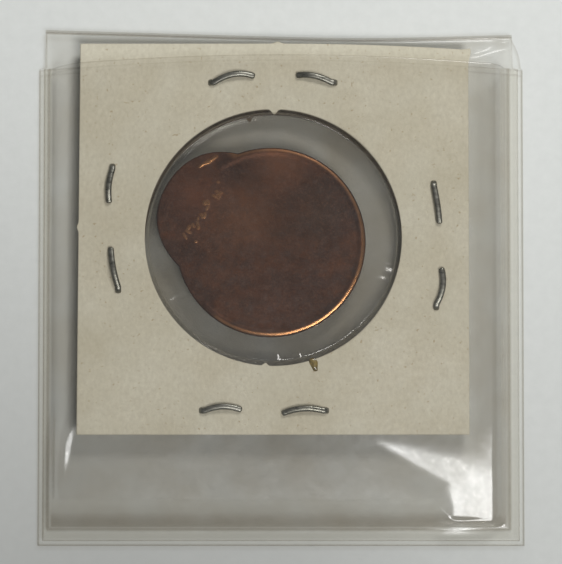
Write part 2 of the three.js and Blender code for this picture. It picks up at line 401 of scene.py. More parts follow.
def copper_material():
    """Toned copper. A mask marks worn bright high points, and a painted highlight along the rim."""
    m = Nodes("aged_copper")
    large = m.noise(240, 4.0, 0.6, seed=1.3)
    mottle = m.noise(700, 6.0, 0.65, seed=4.0)
    grain = m.noise(4200, 4.0, 0.7, seed=7.0)
    colour = m.ramp(large, [
        (0.32, (0.040, 0.014, 0.007)), (0.46, (0.062, 0.022, 0.010)),
        (0.58, (0.100, 0.034, 0.012)), (0.70, (0.052, 0.023, 0.013)),
    ])
    for centre, radius, tone in COPPER_PATCHES:
        share = m.times(m.near((*centre, CARD_MIDDLE), radius), m.level(mottle, 0.2, 0.7, 0.3, 1))
        colour = m.mix(share, colour, tone)
    colour = m.mix(m.level(mottle, 0.42, 0.68, 0.0, 0.6), colour, (0.040, 0.019, 0.012))
    colour = m.mix(m.level(grain, 0.5, 0.75, 0.0, 0.35), colour, (0.22, 0.10, 0.055))
    # worn bright copper, and a painted highlight along the rim that is strongest at the lower right
    wear_and_painted_glint = m.mask("wear_and_painted_glint")
    colour = m.mix(wear_and_painted_glint, colour, (0.60, 0.30, 0.13))
    rough = m.times(m.level(mottle, 0.3, 0.7, 0.36, 0.5), m.level(wear_and_painted_glint, 0, 0.5, 1, 0.5))
    return m.finish(m.add("BsdfPrincipled", {
        "Base Color": colour, "Metallic": m.level(wear_and_painted_glint, 0, 1, 0.5, 1.0), "Roughness": rough,
        "Specular IOR Level": 0.2,
        "Normal": m.bump(grain, 0.000012, 0.5, m.bump(mottle, 0.00002, 0.4)),
    }))


def glue_material():
    """Dried glue, brown and a little shiny."""
    m = Nodes("dried_glue")
    depth = m.noise(2500, 3.0)
    colour = m.ramp(depth, [(0.35, (0.07, 0.05, 0.012)), (0.65, (0.24, 0.17, 0.04))])
    return m.finish(m.add("BsdfPrincipled", {
        "Base Color": colour, "Roughness": m.level(depth, 0.3, 0.7, 0.25, 0.45), "Coat Weight": 0.4,
    }))


# Centre, radius and strength of painted shadows on the table: towards the lower left, and under the flip.
PAINTED_TABLE_SHADOWS = [((-18, -42, 0), 75, 0.66), ((3, -12, 0), 19, 0.3)]


def table_material():
    """A plain pale table, with painted shadows towards the lower left and under the flip."""
    m = Nodes("pale_table")
    grain = m.noise(900, 5.0, 0.6)
    colour = m.ramp(grain, [(0.3, (0.65, 0.665, 0.64)), (0.7, (0.685, 0.70, 0.675))])
    # painted shadows: the table's colour is darkened round each centre
    for centre, radius, strength in PAINTED_TABLE_SHADOWS:
        colour = m.mix(m.times(m.near(centre, radius), strength), colour, (0.25, 0.25, 0.235))
    return m.finish(m.add("BsdfPrincipled", {
        "Base Color": colour, "Roughness": 0.7, "Normal": m.bump(grain, 0.00003, 0.3),
    }))


# ---- The vinyl flip ----

def flip_sides(y, out):
    """x of the left and right edges. Above the shoulder a half is narrower, and it tapers to the fold."""
    neck = smooth((y - SHOULDER + 0.1) / 0.2)
    taper = np.clip((y - SHOULDER) / (FOLD_Y - SHOULDER), 0, 1) ** 2
    wide = (CUT_EDGE[0] - out, CUT_EDGE[1] + out)
    return [w + (n - w) * neck + (f - n) * taper for w, n, f in zip(wide, NECK[out], FOLD_SIDES)]


def mouth_drop(x):
    """How far a pocket's mouth, which bows towards the fold, is below its highest point."""
    return MOUTH_RISE * (x / CUT_EDGE[1]) ** 2


def fold_bow(x):
    """How far the fold is pushed out of line: furthest in near x = 8, and further out to the left."""
    low_x, roundness, slope = 8, 5, 0.03
    return slope * (np.hypot(x - low_x, roundness) - roundness) - 0.3


def along_crease(x, y, start, end):
    """Share of the way along a line, and distance across it to its left."""
    run = np.subtract(end, start)
    length = np.hypot(*run)
    dx, dy = x - start[0], y - start[1]
    return (dx * run[0] + dy * run[1]) / length ** 2, (dy * run[0] - dx * run[1]) / length


def crease(x, y, start, end, width):
    """A soft ridge of height 1 between two points, with faded ends."""
    share, across = along_crease(x, y, start, end)
    return bump_at(across, width) * smooth(share / 0.25 + 0.2) * smooth((1 - share) / 0.25 + 0.2)


def fused_mask(x, y, out):
    """1 in the welded margins, and 0 inside the pocket."""
    left = smooth((POCKET_FOOT[0] - out - x) / 0.25)
    right = smooth((x - POCKET_FOOT[1] - out) / 0.25)
    bottom = smooth((POCKET_FOOT[2] - out - y) / 0.2)
    return np.maximum(np.maximum(left, right), bottom)


def line_mask(x, y, out):
    """1 along the pressed line round a pocket."""
    left, right, bottom = PRESSED_LINE[0] - out, PRESSED_LINE[1] + out, PRESSED_LINE[2] - out
    upright = np.maximum(bump_at(x - left, LINE_WIDTH), bump_at(x - right, LINE_WIDTH))
    upright = upright * smooth((y - bottom) / LINE_WIDTH + 1)
    level = bump_at(y - bottom, LINE_WIDTH) * smooth(np.minimum(x - left, right - x) / LINE_WIDTH + 1)
    return np.maximum(upright, level) * (1.0 if out == 0 else 0.15)


def border_mask(shape):
    """The darkness of a cut edge, on the outermost points of a grid."""
    mask = np.full(shape, CUT_DARKNESS)
    mask[1:-1, 1:-1] = 0
    return mask


def sheet_piece(name, grid, thickness, masks, material):
    """A closed sheet about a grid of points. masks hold one value for each point of the grid."""
    points, faces = film_mesh(grid, thickness)
    masks = {key: np.tile(values.ravel(), 2) for key, values in masks.items()}
    return fix_normals(make_object(name, points, faces.tolist(), material, masks=masks))


def strip_rows(out):
    """y of the strip's rows on one half, from its bottom edge to the fold."""
    bottom, foot = CUT_EDGE[2] - out, POCKET_FOOT[2] - out
    close = 0.2
    stops = [bottom, bottom + BORDER, foot - close, foot, SHOULDER - close, SHOULDER + close, FOLD_Y]
    return spaced(stops, [1, 3, 2, 44, 6, 16])


# A short crease in the strip's front layer, at the right end of the fold.
FOLD_CREASE = dict(start=(18.3, 23.2), end=(22.6, 24.5), width=0.3)
FOLD_CREASE_HEIGHT = 0.25
# painted shade: how much darker the film is drawn along the fold, which also deepens the fold's shadow
FOLD_PAINTED_SHADE = 0.8


def vinyl_strip(material):
    """The one strip that both pockets are welded to, folded in the middle."""
    rear_y, front_y = strip_rows(REAR_OUT), strip_rows(0.0)[::-1]
    rear_z = (REAR_BACK_LOW[2] + REAR_BACK_HIGH[2]) / 2
    spring = smooth((front_y - FOLD_LOOP_START) / (FOLD_Y - FOLD_LOOP_START))
    front_z = (FRONT_BACK_LOW[2] + FRONT_BACK_HIGH[2]) / 2 + FOLD_LOOP * spring
    turn = np.radians(np.linspace(-90, 90, 21))[1:-1]
    radius = (front_z[0] - rear_z) / 2
    along_y = np.concatenate([rear_y, FOLD_Y + radius * np.cos(turn), front_y])
    along_z = np.concatenate([
        np.full(len(rear_y), rear_z), rear_z + radius * (1 + np.sin(turn)), front_z,
    ])
    width = CUT_EDGE[1] - CUT_EDGE[0]
    crease_from, crease_to = 41.0, 45.2  # from the left edge: the steps are finer where the crease is
    across = spaced([0, BORDER, 1.2, crease_from, crease_to, width - BORDER, width], [1, 4, 70, 14, 4, 1])
    across = across / width
    front = smooth((along_z - rear_z) / (along_z[-1] - rear_z))[:, None]
    y = np.repeat(along_y[:, None], len(across), 1)
    front_sides, rear_sides = flip_sides(y, 0.0), flip_sides(y, REAR_OUT)
    left, right = (r + (f - r) * front for r, f in zip(rear_sides, front_sides))
    x = left + across * (right - left)
    y = y + fold_bow(x) * smooth((y - SHOULDER + 1) / (FOLD_Y - SHOULDER + 1))
    z = along_z[:, None] + FOLD_CREASE_HEIGHT * crease(x, y, **FOLD_CREASE) * (front > 0.99)
    rear_fused, front_fused = fused_mask(x, y, REAR_OUT), fused_mask(x, y, 0.0)
    fused = np.maximum(TOUCHING, rear_fused + (front_fused - rear_fused) * front)
    # the fold's curve is drawn dark with painted shade
    edge = np.maximum(border_mask(x.shape), FOLD_PAINTED_SHADE * smooth((along_y[:, None] - FOLD_Y) / 0.15))
    masks = {"fused": fused, "edge": edge}
    piece = sheet_piece("vinyl_strip", np.stack([x, y, z], 2), VINYL, masks, material)
    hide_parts("front_backing_film", "fold_strip", "rear_backing_film")
    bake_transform(piece)


# Where the filled pocket's film comes down to a weld: the width it takes, and how it bends at the top.
LEFT_WALL = (2.7, 1.5)
LEFT_WALL_LOW = (1.9, 3.0)  # near the pocket's closed end
LOW_FROM = -11
RIGHT_WALL = (1.5, 2.2)
BOTTOM_WALL = (2.2, 1.25)
BOTTOM_WALL_STEEP = (0.6, 2.15)  # below the corner fold
STEEP_FROM, STEEP_TO = 14.5, 21.8

# The corner fold: a cone-shaped ridge pushed down into the film, with its tip at the card's lower right.
CORNER_TIP = (8.0, -14.2)
CORNER_SIDE = -15  # direction of its upper side, in degrees
CORNER_RIDGE = (-30, -44)  # direction of its ridge, near the tip and far from it
CORNER_SLOPE = 0.13

# The dent: a streak pushed in at the lower left, deeper towards its end.
DENT_START, DENT_END = (-19.6, -12.0), (-21.2, -20.6)
DENT_DEPTH = 0.55
DENT_WIDTH = 0.75

# The blister: a bubble in the bottom weld, under the corner fold, whose lower side slopes gently.
BLISTER_X = 17.0
BLISTER_FOOT = -23.75
BLISTER_LENGTH = 0.8
BLISTER_WIDTH = 2.0
BLISTER_SLOPE = 0.17


def wall(distance, width, power):
    """A pocket film's share of its full height, at a distance in from the foot of its wall."""
    return 1 - (1 - np.clip(distance / width, 0, 1)) ** power


def corner_fold(x, y):
    """How deep the corner fold is."""
    dx, dy = x - CORNER_TIP[0], y - CORNER_TIP[1]
    reach = np.hypot(dx, dy)
    turn = np.arctan2(dy, dx)
    turn = np.where(turn > np.pi / 2, turn - 2 * np.pi, turn)
    side = math.radians(CORNER_SIDE)
    near, far = CORNER_RIDGE
    ridge = np.radians(near + (far - near) * smooth((reach - 9) / 4))
    sharp, gentle = math.radians(2.2), math.radians(4)
    tent = soft_ramp(side - turn, gentle) - 2 * soft_ramp(ridge - turn, sharp)
    tent = tent + soft_ramp(2 * ridge - side - turn, gentle)
    return CORNER_SLOPE * tent * reach * smooth((reach - 0.3) / 2)


def sag(x, y):
    """How far the film hangs down: at its closed end, and in two steps towards the lower right."""
    closed_end = 0.01 * soft_ramp(-15 - y, 1.0)
    right = 0.06 * (soft_ramp(x - 7, 1.0) - soft_ramp(x - 12, 1.0)) * smooth((3 - y) / 17)
    far_right = 0.07 * soft_ramp(x - 18.4, 0.6) * smooth((-13 - y) / 4)
    return closed_end + right + far_right


def waves(x, y):
    """Slow unevenness of the film."""
    return 0.02 * (np.sin(0.23 * x + 0.31 * y + 1.0) + 0.6 * np.sin(0.41 * x - 0.27 * y + 2.2))


def dent(x, y):
    """How deep the dent is."""
    share, across = along_crease(x, y, DENT_START, DENT_END)
    faded_ends = smooth(share / 0.3) * smooth((1.1 - share) / 0.3)
    return DENT_DEPTH * share * bump_at(across, DENT_WIDTH) * faded_ends


def blister(x, y):
    """How high the blister is."""
    lower_side = BLISTER_SLOPE * np.minimum(soft_ramp(y - BLISTER_FOOT, 0.06), BLISTER_LENGTH)
    return lower_side * bump_at(x - BLISTER_X, BLISTER_WIDTH) * smooth((-21.9 - y) / 0.5)


def pocket_height(x, y):
    """Height of the middle of the filled pocket's film."""
    low = smooth((LOW_FROM - y) / 4)
    steep = smooth((x - STEEP_FROM) / 2.5) * smooth((STEEP_TO - x) / 1.5)
    left = wall(x - POCKET_FOOT[0], *between(LEFT_WALL, LEFT_WALL_LOW, low))
    right = wall(POCKET_FOOT[1] - x, *RIGHT_WALL)
    bottom = wall(y - POCKET_FOOT[2], *between(BOTTOM_WALL, BOTTOM_WALL_STEEP, steep))
    level = ROOF - sag(x, y) - corner_fold(x, y) + waves(x, y) - dent(x, y)
    return FLANGE + (level - FLANGE) * left * right * bottom + blister(x, y)


def pocket_grid(out, fine):
    """x and y of a pocket film's points, and how far each is below the mouth. fine divides its steps."""
    left, right, bottom = (edge + way * out for edge, way in zip(CUT_EDGE, (-1, 1, -1)))
    line_left, line_right, line_bottom = (line + way * out for line, way in zip(PRESSED_LINE, (-1, 1, -1)))
    wide = 2 * LINE_WIDTH
    level_left, level_right, level_bottom = -19.6, 20.2, -20.7  # the film is about level inside these
    straight_to = 15  # y above which the rows start to bow like the mouth
    x = spaced([left, left + BORDER, line_left, line_left + wide, POCKET_FOOT[0], level_left, level_right,
                POCKET_FOOT[1], line_right - wide, line_right + wide, right - BORDER, right],
               [1, 3, 4, 1, 14, 132 // fine, 12, 2, 8, 2, 1])
    y = spaced([bottom, bottom + BORDER, line_bottom - wide, line_bottom + wide, level_bottom,
                MOUTH_TOP - 0.8, MOUTH_TOP - 0.41, MOUTH_TOP - 0.13, MOUTH_TOP],
               [1, 3, 8, 18, 140 // fine, 6, 2, 1])
    x, y = np.meshgrid(x, y)
    bowed = np.clip((y - straight_to) / (MOUTH_TOP - 1 - straight_to), 0, 1)
    return x, y - mouth_drop(x) * bowed, MOUTH_TOP - y


def filled_masks(x, y):
    """What the filled pocket's film looks like: where it is fused and dull, its pressed line, and painted
    shade.
    """
    # painted shade: the film is drawn darker where it stands steep at the bottom wall, at the right side
    # and over the closed end
    bottom_wall, right_wall = 0.85 * smooth((-21 - y) / 1.7), 0.4 * smooth((x - 18.2) / 1.2)
    closed_end = 0.15 * smooth((-14 - y) / 3)
    painted_shade = np.maximum(np.maximum(bottom_wall, closed_end), right_wall) * (1 - fused_mask(x, y, 0.0))
    clear_of_blister = 1 - np.minimum(blister(x, y) / 0.08, 1)
    wall_top = smooth((-20.2 - y) / 0.3) * smooth((16.5 - x) / 1.5)
    fused = np.maximum(fused_mask(x, y, 0.0), wall_top) * clear_of_blister
    return fused, wall_top * clear_of_blister, line_mask(x, y, 0.0) * clear_of_blister, painted_shade


def empty_masks(x, y):
    """The same for the empty pocket's film, which lies flat against the strip."""
    nothing = np.zeros_like(x)
    fused = np.maximum(fused_mask(x, y, REAR_OUT), TOUCHING)
    return fused, nothing, line_mask(x, y, REAR_OUT), nothing


def pocket_sheet(name, body, node, out, fine, height, looks, material):
    """A pocket's film, with a dark hem line just inside its mouth."""
    x, y, from_mouth = pocket_grid(out, fine)
    z = height(x, y) - 0.03 * line_mask(x, y, out)
    hem = 0.35 * bump_at(from_mouth - 0.55, 0.07)
    fused, dull, line, painted_shade = looks(x, y)
    # the painted shade goes into the edge mask, with the cut edges, the pressed line and the hem
    edge = np.maximum(np.maximum(border_mask(x.shape), line), np.maximum(hem, painted_shade))
    masks = {"fused": fused, "edge": edge, "dull": dull}
    piece = sheet_piece(name, np.stack([x, y, z], 2), FILM_THICKNESS, masks, material)
    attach(piece, body)
    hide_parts(node)


def empty_height(x, y):
    """Height of the middle of the empty pocket's film, just off the table."""
    return np.full_like(x, VINYL / 2 + 0.02)


def pockets(material):
    """The filled front pocket, in fine steps, and the empty rear one."""
    pocket_sheet("front_pocket_sheet", "front_half", "front_pocket_film", 0.0, 1, pocket_height,
                 filled_masks, material)
    pocket_sheet("rear_pocket_sheet", "rear_half", "rear_pocket_film", REAR_OUT, 3, empty_height,
                 empty_masks, material)


# ---- The card holder ----

def square_reach(angle, centre, low, high):
    """Distance from centre to the edge of a rectangle, in each direction."""
    reaches = []
    for axis, part in enumerate((np.cos(angle), np.sin(angle))):
        edge = np.where(part > 0, high[axis] - centre[axis], low[axis] - centre[axis])
        reaches.append(abs(edge / np.where(abs(part) < 1e-9, 1e-9, part)))
    return np.minimum(*reaches)


TOP_EDGE_DROP = 0.6  # at the card's upper right corner
LEFT_EDGE_LEAN = 0.25  # at its upper left corner


def trimmed(points):
    """The card's real outline: its top edge drops to the right, and its left edge leans in a little."""
    x, y = points[..., 0], points[..., 1]
    drop = TOP_EDGE_DROP * (np.maximum(x, 0) / CARD_HIGH[0]) ** 2 * smooth((y - 14) / 10)
    height = (y - CARD_LOW[1]) / (CARD_HIGH[1] - CARD_LOW[1])
    lean = LEFT_EDGE_LEAN * height * smooth((-12 - x) / 7)
    return points + np.stack([lean, -drop, np.zeros_like(x)], -1)


# Small flaws of the cut edges: direction from the window's centre in degrees, size and width.
FRONT_WINDOW_NUBS = [(89.6, 0.5, 0.32), (266.5, 0.3, 0.25)]
FRONT_EDGE_NUBS = [(88.7, 0.22, 0.35), (177, 0.18, 0.3), (44.2, 0.35, 0.4)]
REAR_WINDOW_NUBS = [(101, 0.45, 0.25)]
ROUNDED = 0.06  # radius of a leaf's edges


def leaf_mesh(low_z, high_z, shift, window_nubs, edge_nubs):
    """One leaf with its round window. shift moves the window."""
    centre = WINDOW_CENTRE + shift
    corners = [math.atan2(y - centre[1], x - centre[0])
               for x in (CARD_LOW[0], CARD_HIGH[0]) for y in (CARD_LOW[1], CARD_HIGH[1])]
    angle = np.sort(np.concatenate([np.linspace(-np.pi, np.pi, 720, endpoint=False), corners]))
    outer = square_reach(angle, centre, CARD_LOW, CARD_HIGH)
    inner = np.full_like(angle, WINDOW_RADIUS)
    for direction, size, width in window_nubs:
        inner = inner - size * bump_at(turn_between(angle, direction) * WINDOW_RADIUS, width)
    for direction, size, width in edge_nubs:
        outer = outer + size * bump_at(turn_between(angle, direction) * outer, width)
    inside = np.linspace(ROUNDED / 4, 1 - ROUNDED / 4, 20)
    reach = np.concatenate([[0, 0, ROUNDED / 5], inside, [1 - ROUNDED / 5, 1, 1]])
    drop = np.concatenate([[1, 0.35, 0], np.zeros(len(inside)), [0, 0.35, 1]]) * ROUNDED
    radius = inner + reach[:, None] * (outer - inner)
    top = np.stack([
        centre[0] + radius * np.cos(angle), centre[1] + radius * np.sin(angle),
        np.repeat((high_z - drop)[:, None], len(angle), 1),
    ], 2)
    under = top[::-1].copy()
    under[:, :, 2] = (low_z + drop[::-1])[:, None]
    rings = trimmed(np.concatenate([top, under]))
    faces = grid_faces(len(rings), len(angle), wrap=True)
    last = (len(rings) - 1) * len(angle)
    c = np.arange(len(angle))
    after = (c + 1) % len(angle)
    closing = np.stack([last + c, last + after, after, c], 1)
    return rings.reshape(-1, 3), np.concatenate([faces, closing])


def lower_fold():
    """The half-round fold that joins the leaves at the card's lower edge."""
    turn = np.radians(np.linspace(90, 270, 13))
    radius = (CARD_HIGH[2] - CARD_LOW[2] - LEAF) / 2
    middle_y = CARD_LOW[1] + radius + LEAF / 2
    ring = []
    for side, order in ((1, turn), (-1, turn[::-1])):
        reach = radius + side * LEAF / 2
        ring += [(middle_y + reach * math.cos(t), CARD_MIDDLE + reach * math.sin(t)) for t in order]
    points = [(x, y, z) for x in (CARD_LOW[0], CARD_HIGH[0]) for y, z in ring]
    count = len(ring)
    ends = [list(range(count)), list(range(count, 2 * count))[::-1]]
    return np.array(points), grid_faces(2, count, wrap=True).tolist() + ends


def folded_card(material):
    """A blank folded along its lower edge, so that its two leaves and their windows lie together."""
    front = leaf_mesh(CARD_MIDDLE + WINDOW_FILM, CARD_HIGH[2], np.zeros(2),
                      FRONT_WINDOW_NUBS, FRONT_EDGE_NUBS)
    rear = leaf_mesh(CARD_LOW[2], CARD_MIDDLE - WINDOW_FILM, REAR_WINDOW_SHIFT, REAR_WINDOW_NUBS, [])
    points, faces = join_meshes([front, rear, lower_fold()])
    from_window = np.hypot(*(points[:, :2] - WINDOW_CENTRE).T) - WINDOW_RADIUS
    inside = (abs(points[:, 2] - CARD_MIDDLE) < 0.2) * (points[:, 2] < CARD_MIDDLE)
    # painted shade on the rear leaf's inside, round its window
    masks = {"leaf_gap_shade": inside * (from_window < LEAF_SHADE_SPREAD)}
    piece = fix_normals(make_object("card_blank", points, faces, material, masks=masks))
    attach(piece, "holder")
    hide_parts("folded_card")


# Direction and distance from the window's centre, and height, of small wrinkles in the front film.
WRINKLES = [
    (-88, 11.1, 0.22), (-77.4, 11.2, 0.22), (-14.5, 11.4, 0.12), (-19, 11.0, 0.08), (107.6, 9.4, 0.07),
    (97.9, 10.5, 0.08), (60, 11.0, 0.05), (-50, 11.3, 0.05), (150, 11.3, 0.05), (-150, 11.3, 0.06),
]
WRINKLE_WIDTH = 0.34
WRINKLE_LENGTH = 0.9
PLATEAU_RADIUS = 11.95  # the film lies level over the coin inside this
COIN_GAP = 0.06


def window_rings(way):
    """The film's middle as rings of points round the window, from its centre out to its square edge."""
    film_low, film_high = (WINDOW_LOW, WINDOW_HIGH) if way > 0 else node_box("rear_window_film")
    centre = WINDOW_CENTRE if way > 0 else WINDOW_CENTRE + REAR_WINDOW_SHIFT / 2
    foot = 12.45 if way > 0 else 12.2
    glued_from = foot + 0.05
    angle = np.linspace(-np.pi, np.pi, 360, endpoint=False)
    square = square_reach(angle, centre, film_low, film_high)
    level = np.linspace(8, PLATEAU_RADIUS - 0.3, 20)
    slope = np.linspace(PLATEAU_RADIUS - 0.2, glued_from, 14)
    stops = np.concatenate([[0.3, 4.0, 7.5], level, slope])
    radius = np.concatenate([
        np.repeat(stops[:, None], len(angle), 1),
        glued_from + np.linspace(0.1, 1, 4)[:, None] * (square - glued_from),
    ])
    lift = (COIN_HALF + COIN_GAP + WINDOW_FILM / 2) * smooth((foot - radius) / (foot - PLATEAU_RADIUS))
    for direction, reach, height in WRINKLES if way > 0 else []:
        across = bump_at(turn_between(angle, direction) * reach, WRINKLE_WIDTH)
        lift = lift + height * across * bump_at(radius - reach, WRINKLE_LENGTH) * (radius < foot)
    z = CARD_MIDDLE + way * (lift + WINDOW_FILM / 2)
    return np.stack([centre[0] + radius * np.cos(angle), centre[1] + radius * np.sin(angle), z], 2), centre


def window_film(way, material):
    """way is 1 for the film in front of the coin and -1 for the one behind it."""
    rings, centre = window_rings(way)
    rows, columns = rings.shape[:2]
    hub = np.array([*centre, rings[0, :, 2].mean()])
    sides = []
    for side in (1, -1):
        offset = [0, 0, side * WINDOW_FILM * 0.9 / 2]
        points = np.concatenate([rings.reshape(-1, 3) + offset, [hub + offset]])
        middle = [[len(points) - 1, i, (i + 1) % columns] for i in range(columns)]
        sides.append((points, grid_faces(rows, columns, wrap=True).tolist() + middle))
    points, faces = join_meshes(sides)
    outer = (rows - 1) * columns
    under = outer + len(sides[0][0])
    faces += [[outer + i, outer + (i + 1) % columns, under + (i + 1) % columns, under + i]
              for i in range(columns)]
    place = "front" if way > 0 else "rear"
    piece = fix_normals(make_object(place + "_window_sheet", points, faces, material))
    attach(piece, "holder")
    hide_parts(place + "_window_film")


# bow is how far the legs lift off the card. A leg is its length, and how far aside it stands at its
# root, middle and tip.
STAPLES = {
    "staple_top": dict(along=(1, 0), bow=0.2, legs=((4.4, -0.53, 0.27, 0.06), (3.87, -0.53, 0.11, 0.16))),
    "staple_bottom": dict(along=(1, 0), bow=0.12, legs=((4.0, 0, 0.4, 0.05), (4.4, 0, 0.2, -0.3))),
    "staple_left": dict(along=(0, 1), bow=0.2, legs=((4.3, -0.64, -0.15, 0.09), (3.7, -0.05, 0.29, 0.24))),
    "staple_right": dict(along=(0, 1), bow=0.1, legs=((3.95, 0.13, -0.5, -0.35), (4.05, 0.33, 0, -0.2))),
}
WIRE_HALF_WIDTH = 0.3
WIRE_HALF_THICK = 0.21
WIRE_CORNER = 0.195  # radius
WIRE_BEND = 0.4
CLINCH_GAP = 0.01
CROWN_GAP = 0.03
TIP = [1, 0.99, 0.97, 0.94]  # shares of a leg's length where its cut end is thinner
TIP_SIZE = [0.45, 0.75, 0.92, 1]


def wire_section():
    """The outline of the flattened wire, as (through its thickness, over its width)."""
    points = []
    for wide, thick, start in ((1, 1, 0), (-1, 1, 90), (-1, -1, 180), (1, -1, 270)):
        for degrees in (0, 30, 60, 90):
            t = math.radians(start + degrees)
            points.append((thick * (WIRE_HALF_THICK - WIRE_CORNER) + WIRE_CORNER * math.sin(t),
                           wide * (WIRE_HALF_WIDTH - WIRE_CORNER) + WIRE_CORNER * math.cos(t)))
    return points


def staple_leg(reach, back, front, bow, leg):
    """One leg as (along, aside, height), from its tip to the crown."""
    length, root, mid, end = leg
    corner = reach - WIRE_BEND
    line = []
    for t in TIP + np.linspace(0.9, 0.06, 14).tolist():
        aside = root + (4 * mid - 3 * root - end) * t + 2 * (root - 2 * mid + end) * t * t
        height = front + bow * math.sin(math.pi * min(t * 1.08, 1))
        line.append((corner - t * (length - WIRE_BEND), aside, height))
    for t in np.radians(np.linspace(90, 0, 8)):
        line.append((corner + WIRE_BEND * math.cos(t), root, front - WIRE_BEND + WIRE_BEND * math.sin(t)))
    for t in np.radians(np.linspace(0, -90, 8)):
        line.append((corner + WIRE_BEND * math.cos(t), root, back + WIRE_BEND + WIRE_BEND * math.sin(t)))
    return line


def staple(node, along, bow, legs, material):
    """A wire staple: its crown behind the card, its legs bent over and clinched on the front."""
    low, high = node_box(node)
    middle = (low + high) / 2
    along = np.array([*along, 0.0])
    side = np.array([-along[1], along[0], 0.0])
    reach = abs((high - low) @ along) / 2 - WIRE_HALF_THICK
    back = CARD_LOW[2] - CROWN_GAP - WIRE_HALF_THICK
    front = CARD_HIGH[2] + CLINCH_GAP + WIRE_HALF_THICK
    path, size = [], []
    for way, leg in zip((-1, 1), legs):
        line = [(way * out, aside, z) for out, aside, z in staple_leg(reach, back, front, bow, leg)]
        line_size = TIP_SIZE + [1] * (len(line) - len(TIP_SIZE))
        path += line[::-way]
        size += line_size[::-way]
    base = middle * [1, 1, 0]
    path = [base + along * out + side * aside + np.array([0, 0, z]) for out, aside, z in path]
    points, faces = swept(path, side, wire_section(), size)
    piece = fix_normals(make_object(node + "_wire", points, faces, material))
    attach(piece, "holder")
    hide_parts(node)


GLUE_CENTRE = (3.2, -7.25)


def glue_speck(material):
    """A small run of dried glue at the window's lower edge."""
    half_width, half_length, uneven, lean = 0.38, 0.72, 0.08, 0.2
    angle = np.linspace(0, 2 * np.pi, 32, endpoint=False)
    across = (half_width + uneven * np.sin(3 * angle)) * np.cos(angle) - lean * np.sin(angle)
    along = (half_length + uneven * np.sin(2 * angle + 1)) * np.sin(angle)
    rings = []
    for share, height in ((1, 0), (0.93, 0.05), (0.7, 0.1), (0.35, 0.13), (0.05, 0.14)):
        z = np.full_like(angle, CARD_HIGH[2] - 0.01 + height)
        rings.append(np.stack([GLUE_CENTRE[0] + share * across, GLUE_CENTRE[1] + share * along, z], 1))
    points = np.concatenate(rings)
    faces = grid_faces(len(rings), len(angle), wrap=True).tolist()
    faces += [list(range(len(angle))), list(range((len(rings) - 1) * len(angle), len(points)))]
    piece = fix_normals(make_object("glue_speck", points, faces, material))
    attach(piece, "holder")


# ---- The coin ----

RIM_IN = 0.42  # from the coin's edge to the middle of its raised rim
RIM_WIDTH = 0.3
RIM_HEIGHT = 0.075
STRIKE_DEPTH = 0.02
FLOW_HEIGHT = 0.008  # of the lines along which the struck metal flowed
MARK_HEIGHT = 0.03


def coin_reach(angle):
    """The coin's outline: a round blank, with the struck lobe spread past it."""
    dx, dy = np.cos(angle), np.sin(angle)
    toward = LOBE_CENTRE[0] * dx + LOBE_CENTRE[1] * dy
    inside = toward ** 2 - LOBE_CENTRE @ LOBE_CENTRE + LOBE_RADIUS ** 2
    lobe = np.where(inside > 0, toward + np.sqrt(np.maximum(inside, 0)), 0)
    return np.maximum(COIN_RADIUS, lobe + 0.05 * np.sin(9 * angle))


def worn_marks():
    """Small generic strokes and beads left by the off-centre strike: (start, end, half width)."""
    random = np.random.default_rng(11)
    row_start, row_run = np.array([-6.1, 10.0]), np.array([-2.9, -5.2])
    marks = []
    for share in np.linspace(0, 1, 24):
        start = row_start + row_run * share + random.normal(0, 0.35, 2)
        turn = random.uniform(0, np.pi)
        length = random.uniform(0.05, 0.6)
        marks.append((start, start + length * np.array([math.cos(turn), math.sin(turn)]), 0.075))
    marks.append((np.array([-7.9, 12.0]), np.array([-6.9, 12.7]), 0.09))
    marks.append((np.array([-7.2, 12.3]), np.array([-6.3, 13.0]), 0.11))
    return marks


def coin_relief(x, y, radius):
    """Height of a face above its flat field, and a mask of its worn bright points and painted rim
    highlight.
    """
    from_die = np.hypot(x - DIE_CENTRE[0], y - DIE_CENTRE[1])
    struck = smooth((DIE_RADIUS - from_die) / 0.6)
    rim = bump_at(radius - (COIN_RADIUS - RIM_IN), RIM_WIDTH) * (1 - struck)
    turn = np.degrees(np.arctan2(y - DIE_CENTRE[1], x - DIE_CENTRE[0]))
    flow = np.sin(turn * 5.5) * 0.5 + np.sin(turn * 13.7 + from_die) * 0.5
    height = RIM_HEIGHT * rim - STRIKE_DEPTH * struck + FLOW_HEIGHT * struck * flow
    wear_and_painted_glint = np.zeros_like(x)
    for start, end, width in worn_marks():
        share, across = along_crease(x, y, start, end)
        beyond = np.maximum(abs(share - 0.5) - 0.5, 0) * np.hypot(*(end - start))
        wear_and_painted_glint = np.maximum(wear_and_painted_glint, bump_at(np.hypot(across, beyond), width))
    # the rim is worn bright all round, and painted with a highlight that is strongest towards the lower
    # right, where the lamp lies
    on_rim = smooth((radius - COIN_RADIUS + 0.5) / 0.3) * smooth((from_die - DIE_RADIUS - 1) / 0.6)
    lower_right = (x - COIN_CENTRE[0] - y + COIN_CENTRE[1]) / (math.sqrt(2) * radius)
    rim_wear_and_painted_glint = on_rim * (0.22 + 0.4 * smooth(lower_right))
    return height + MARK_HEIGHT * wear_and_painted_glint, np.maximum(wear_and_painted_glint * 0.85, rim_wear_and_painted_glint)


# The coin's side wall from front to back: shares of its reach and of its half thickness.
COIN_WALL = np.array([
    (0.993, 0.96), (0.998, 0.88), (1.0, 0.75), (1.0, 0.0), (1.0, -0.75), (0.998, -0.88), (0.993, -0.96),
])


